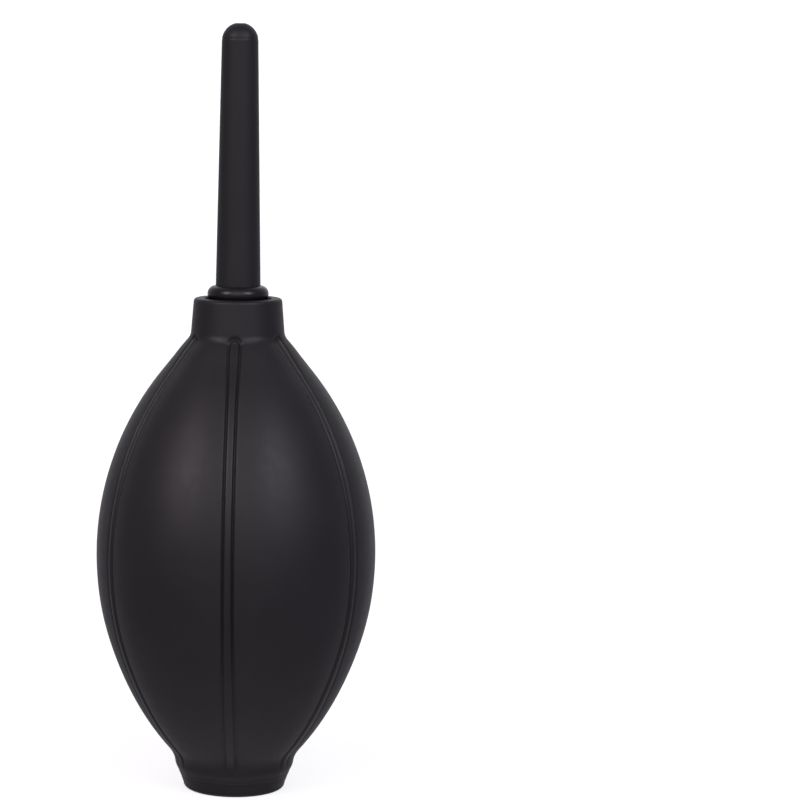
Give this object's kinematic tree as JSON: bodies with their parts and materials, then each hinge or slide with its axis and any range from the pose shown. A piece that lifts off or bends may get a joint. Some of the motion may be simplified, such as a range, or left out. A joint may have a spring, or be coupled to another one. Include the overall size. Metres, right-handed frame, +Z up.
{
  "type": "dust blower bulb",
  "caption": "Black rubber squeeze bulb with moulded ribs, an air inlet valve in its foot, an outlet valve in its neck and a long soft nozzle that bends and turns.",
  "frame": {"origin": "centre of the foot's flat face, on the blower's axis", "axes": "+Z up along the axis from foot to nozzle tip, -Y towards the front rib, +X to the right, the side the nozzle bends to when the bend is positive"},
  "size_m": [0.0564, 0.0572, 0.1548],
  "materials": {
    "bulb_rubber": "moulded rubber, fine matt, near black",
    "nozzle_rubber": "soft moulded rubber, matt shaft and glossier bead",
    "foot_plastic": "satin moulded, near black",
    "cartridge_plastic": "satin moulded, black",
    "valve_plastic": "natural moulded, off-white",
    "disc_rubber": "thin moulded sheet, brick red",
    "filter_felt": "needled felt, off-white"
  },
  "bodies": {
    "bulb": {"bulb_shell": "bulb_rubber", "inlet_valve_body": "foot_plastic", "inlet_cage": "valve_plastic", "filter_disc": "filter_felt", "filter_grille": "foot_plastic"},
    "wall_left": {"squeeze_wall_left": "bulb_rubber"},
    "wall_right": {"squeeze_wall_right": "bulb_rubber"},
    "inlet_disc": {"inlet_disc": "disc_rubber"},
    "outlet_cartridge": {"outlet_valve_body": "cartridge_plastic", "outlet_seat": "valve_plastic"},
    "outlet_disc": {"outlet_disc": "disc_rubber"},
    "nozzle_foot": {"nozzle_root": "nozzle_rubber"},
    "nozzle_part_1": {"nozzle_length_1": "nozzle_rubber"},
    "nozzle_part_2": {"nozzle_length_2": "nozzle_rubber"},
    "nozzle_part_3": {"nozzle_length_3": "nozzle_rubber"},
    "nozzle_part_4": {"nozzle_length_4": "nozzle_rubber"},
    "nozzle_part_5": {"nozzle_length_5": "nozzle_rubber"},
    "nozzle_part_6": {"nozzle_length_6": "nozzle_rubber"},
    "nozzle_part_7": {"nozzle_length_7": "nozzle_rubber"},
    "nozzle_part_8": {"nozzle_length_8": "nozzle_rubber"},
    "nozzle_part_9": {"nozzle_length_9": "nozzle_rubber"},
    "nozzle_end": {"nozzle_tip": "nozzle_rubber"}
  },
  "joints": [
    {"name": "squeeze_right", "type": "slide", "parent": "bulb", "child": "wall_right", "axis": [-1, 0, 0], "range_m": [0, 0.011], "stiffness_N_per_m": 900},
    {"name": "squeeze_left", "type": "slide", "parent": "bulb", "child": "wall_left", "axis": [1, 0, 0], "range_m": [0, 0.011], "stiffness_N_per_m": 900},
    {"name": "inlet_disc_lift", "type": "slide", "parent": "bulb", "child": "inlet_disc", "axis": [0, 0, 1], "range_m": [0, 0.0012]},
    {"name": "outlet_cartridge_pull", "type": "slide", "parent": "bulb", "child": "outlet_cartridge", "axis": [0, 0, 1], "range_m": [0, 0.018]},
    {"name": "outlet_disc_lift", "type": "slide", "parent": "outlet_cartridge", "child": "outlet_disc", "axis": [0, 0, 1], "range_m": [0, 0.0012]},
    {"name": "nozzle_turn", "type": "hinge", "parent": "outlet_cartridge", "child": "nozzle_foot", "pos_m": [0, 0, 0.096], "axis": [0, 0, 1], "continuous": true},
    {"name": "nozzle_bend_1", "type": "hinge", "parent": "nozzle_foot", "child": "nozzle_part_1", "pos_m": [0, 0, 0.104], "axis": [0, 1, 0], "range_deg": [-14.4, 14.4], "stiffness_Nm_per_rad": 0.12},
    {"name": "nozzle_bend_2", "type": "hinge", "parent": "nozzle_part_1", "child": "nozzle_part_2", "pos_m": [0, 0, 0.1088], "axis": [0, 1, 0], "range_deg": [-14.5, 14.5], "stiffness_Nm_per_rad": 0.055},
    {"name": "nozzle_bend_3", "type": "hinge", "parent": "nozzle_part_2", "child": "nozzle_part_3", "pos_m": [0, 0, 0.1136], "axis": [0, 1, 0], "range_deg": [-14.5, 14.5], "stiffness_Nm_per_rad": 0.05},
    {"name": "nozzle_bend_4", "type": "hinge", "parent": "nozzle_part_3", "child": "nozzle_part_4", "pos_m": [0, 0, 0.1184], "axis": [0, 1, 0], "range_deg": [-14.5, 14.5], "stiffness_Nm_per_rad": 0.045},
    {"name": "nozzle_bend_5", "type": "hinge", "parent": "nozzle_part_4", "child": "nozzle_part_5", "pos_m": [0, 0, 0.1232], "axis": [0, 1, 0], "range_deg": [-14.5, 14.5], "stiffness_Nm_per_rad": 0.038},
    {"name": "nozzle_bend_6", "type": "hinge", "parent": "nozzle_part_5", "child": "nozzle_part_6", "pos_m": [0, 0, 0.128], "axis": [0, 1, 0], "range_deg": [-13.78, 13.78], "stiffness_Nm_per_rad": 0.03},
    {"name": "nozzle_bend_7", "type": "hinge", "parent": "nozzle_part_6", "child": "nozzle_part_7", "pos_m": [0, 0, 0.1328], "axis": [0, 1, 0], "range_deg": [-9.46, 9.46], "stiffness_Nm_per_rad": 0.018},
    {"name": "nozzle_bend_8", "type": "hinge", "parent": "nozzle_part_7", "child": "nozzle_part_8", "pos_m": [0, 0, 0.1376], "axis": [0, 1, 0], "range_deg": [-7.3, 7.3], "stiffness_Nm_per_rad": 0.01},
    {"name": "nozzle_bend_9", "type": "hinge", "parent": "nozzle_part_8", "child": "nozzle_part_9", "pos_m": [0, 0, 0.1424], "axis": [0, 1, 0], "range_deg": [-5.86, 5.86], "stiffness_Nm_per_rad": 0.006},
    {"name": "nozzle_bend_10", "type": "hinge", "parent": "nozzle_part_9", "child": "nozzle_end", "pos_m": [0, 0, 0.1472], "axis": [0, 1, 0], "range_deg": [-4.42, 4.42], "stiffness_Nm_per_rad": 0.003}
  ],
  "couplings": [
    {"joint": "squeeze_left", "follows": "squeeze_right", "ratio": 1},
    {"joint": "nozzle_bend_2", "follows": "nozzle_bend_1", "ratio": 1},
    {"joint": "nozzle_bend_3", "follows": "nozzle_bend_1", "ratio": 1},
    {"joint": "nozzle_bend_4", "follows": "nozzle_bend_1", "ratio": 1},
    {"joint": "nozzle_bend_5", "follows": "nozzle_bend_1", "ratio": 1},
    {"joint": "nozzle_bend_6", "follows": "nozzle_bend_1", "ratio": 0.95},
    {"joint": "nozzle_bend_7", "follows": "nozzle_bend_1", "ratio": 0.65},
    {"joint": "nozzle_bend_8", "follows": "nozzle_bend_1", "ratio": 0.5},
    {"joint": "nozzle_bend_9", "follows": "nozzle_bend_1", "ratio": 0.4},
    {"joint": "nozzle_bend_10", "follows": "nozzle_bend_1", "ratio": 0.3}
  ]
}
